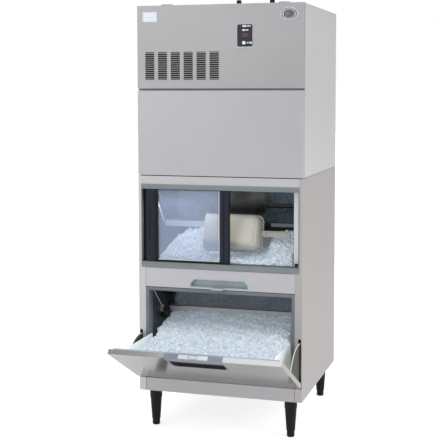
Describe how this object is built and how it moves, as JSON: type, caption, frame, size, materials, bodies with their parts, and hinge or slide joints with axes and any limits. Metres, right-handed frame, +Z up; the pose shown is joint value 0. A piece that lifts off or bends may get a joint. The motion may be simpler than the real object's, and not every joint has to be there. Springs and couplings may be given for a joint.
{
  "type": "commercial ice machine",
  "caption": "Stainless ice machine: an ice-making head with louvred front stands on an insulated bin with sliding glass windows, a tilting bottom flap and a scoop in the ice.",
  "frame": {"origin": "floor level, under the middle of the bounding box of the machine with its flap open", "axes": "+Z up, +Y from the front to the rear, +X to the right as seen by somebody in front of the machine"},
  "size_m": [0.7, 1.0708, 1.785],
  "materials": {
    "stainless": "fine satin grain",
    "polished_sheet": "bright, slightly worn",
    "zinc_steel": "zinc-plated sheet",
    "grey_moulding": "fine-grained grey",
    "black_moulding": "smooth black",
    "white_moulding": "smooth white",
    "pale_moulding": "smooth light beige",
    "foam": "closed-cell foam",
    "window_glass": "clear",
    "ice": "wet crescent and cube ice",
    "display": "glossy dark blue",
    "black_metal": "satin black",
    "aluminium_fins": "bare",
    "copper_tin": "tinned",
    "brass_fitting": "machined"
  },
  "bodies": {
    "cabinet": {"bin_right_side": "stainless", "bin_left_side": "stainless", "bin_rear_panel": "zinc_steel", "bin_bottom_plate": "zinc_steel", "insulation": "foam", "bin_liner": "white_moulding", "drain_pipe": "grey_moulding", "base_panel": "stainless", "top_strip": "stainless", "mid_panel": "stainless", "pull_recess": "grey_moulding", "strike_plate": "polished_sheet", "opening_frame": "grey_moulding", "window_frame": "grey_moulding", "hinge_pins": "polished_sheet", "legs": "black_moulding", "ice_deflector": "polished_sheet", "ice_partition": "polished_sheet", "bin_sensor": "polished_sheet", "stored_ice": "ice", "scoop": "pale_moulding", "head_base_tray": "zinc_steel", "head_right_side": "stainless", "head_left_side": "stainless", "head_top_cover": "stainless", "head_rear_panel": "zinc_steel", "head_lower_panel": "stainless", "head_upper_panel": "stainless", "control_bezel": "white_moulding", "control_window": "display", "button_switch": "black_moulding", "air_filter": "black_moulding", "condenser": "aluminium_fins", "fan_shroud": "zinc_steel", "fan_motor": "black_metal", "compressor": "black_metal", "evaporator": "copper_tin", "circulation_pump": "black_moulding", "control_box": "zinc_steel", "water_inlet": "brass_fitting", "cord_gland": "black_moulding", "top_knobs": "black_moulding", "top_caps": "black_moulding"},
    "flap": {"flap_outer_panel": "stainless", "flap_inner_pan": "white_moulding", "flap_handle": "grey_moulding", "flap_stays": "polished_sheet", "loose_ice": "ice"},
    "latch": {"flap_latch": "polished_sheet"},
    "left_window": {"left_sash": "black_moulding", "left_glass": "window_glass"},
    "right_window": {"right_sash": "black_moulding", "right_glass": "window_glass"},
    "button": {"power_button": "white_moulding"},
    "fan": {"fan_blades": "aluminium_fins"},
    "tray": {"water_tray": "white_moulding"},
    "front_left_foot_body": {"front_left_foot": "black_moulding"},
    "front_right_foot_body": {"front_right_foot": "black_moulding"},
    "rear_left_foot_body": {"rear_left_foot": "black_moulding"},
    "rear_right_foot_body": {"rear_right_foot": "black_moulding"}
  },
  "joints": [
    {"name": "flap_hinge", "type": "hinge", "parent": "cabinet", "child": "flap", "pos_m": [0, -0.20463, 0.232], "axis": [-1, 0, 0], "range_deg": [0, 62], "deforming": ["loose_ice"]},
    {"name": "latch_press", "type": "slide", "parent": "flap", "child": "latch", "axis": [0, 0.8829, -0.4695], "range_m": [0, 0.003], "stiffness_N_per_m": 400, "springref_m": -0.004},
    {"name": "left_window_slide", "type": "slide", "parent": "cabinet", "child": "left_window", "axis": [1, 0, 0], "range_m": [-0.016, 0.288]},
    {"name": "right_window_slide", "type": "slide", "parent": "cabinet", "child": "right_window", "axis": [1, 0, 0], "range_m": [0, 0.304]},
    {"name": "power_button_press", "type": "slide", "parent": "cabinet", "child": "button", "axis": [0, 1, 0], "range_m": [0, 0.0015], "stiffness_N_per_m": 500, "springref_m": -0.002},
    {"name": "fan_spin", "type": "hinge", "parent": "cabinet", "child": "fan", "pos_m": [-0.16, -0.03463, 1.548], "axis": [0, 1, 0], "continuous": true},
    {"name": "water_tray_tilt", "type": "hinge", "parent": "cabinet", "child": "tray", "pos_m": [0.073, 0.23537, 1.388], "axis": [0, -1, 0], "range_deg": [0, 25]},
    {"name": "front_left_foot_turn", "type": "hinge", "parent": "cabinet", "child": "front_left_foot_body", "pos_m": [-0.294, -0.13663, 0], "axis": [0, 0, 1], "continuous": true},
    {"name": "front_right_foot_turn", "type": "hinge", "parent": "cabinet", "child": "front_right_foot_body", "pos_m": [0.294, -0.13663, 0], "axis": [0, 0, 1], "continuous": true},
    {"name": "rear_left_foot_turn", "type": "hinge", "parent": "cabinet", "child": "rear_left_foot_body", "pos_m": [-0.294, 0.47737, 0], "axis": [0, 0, 1], "continuous": true},
    {"name": "rear_right_foot_turn", "type": "hinge", "parent": "cabinet", "child": "rear_right_foot_body", "pos_m": [0.294, 0.47737, 0], "axis": [0, 0, 1], "continuous": true}
  ]
}
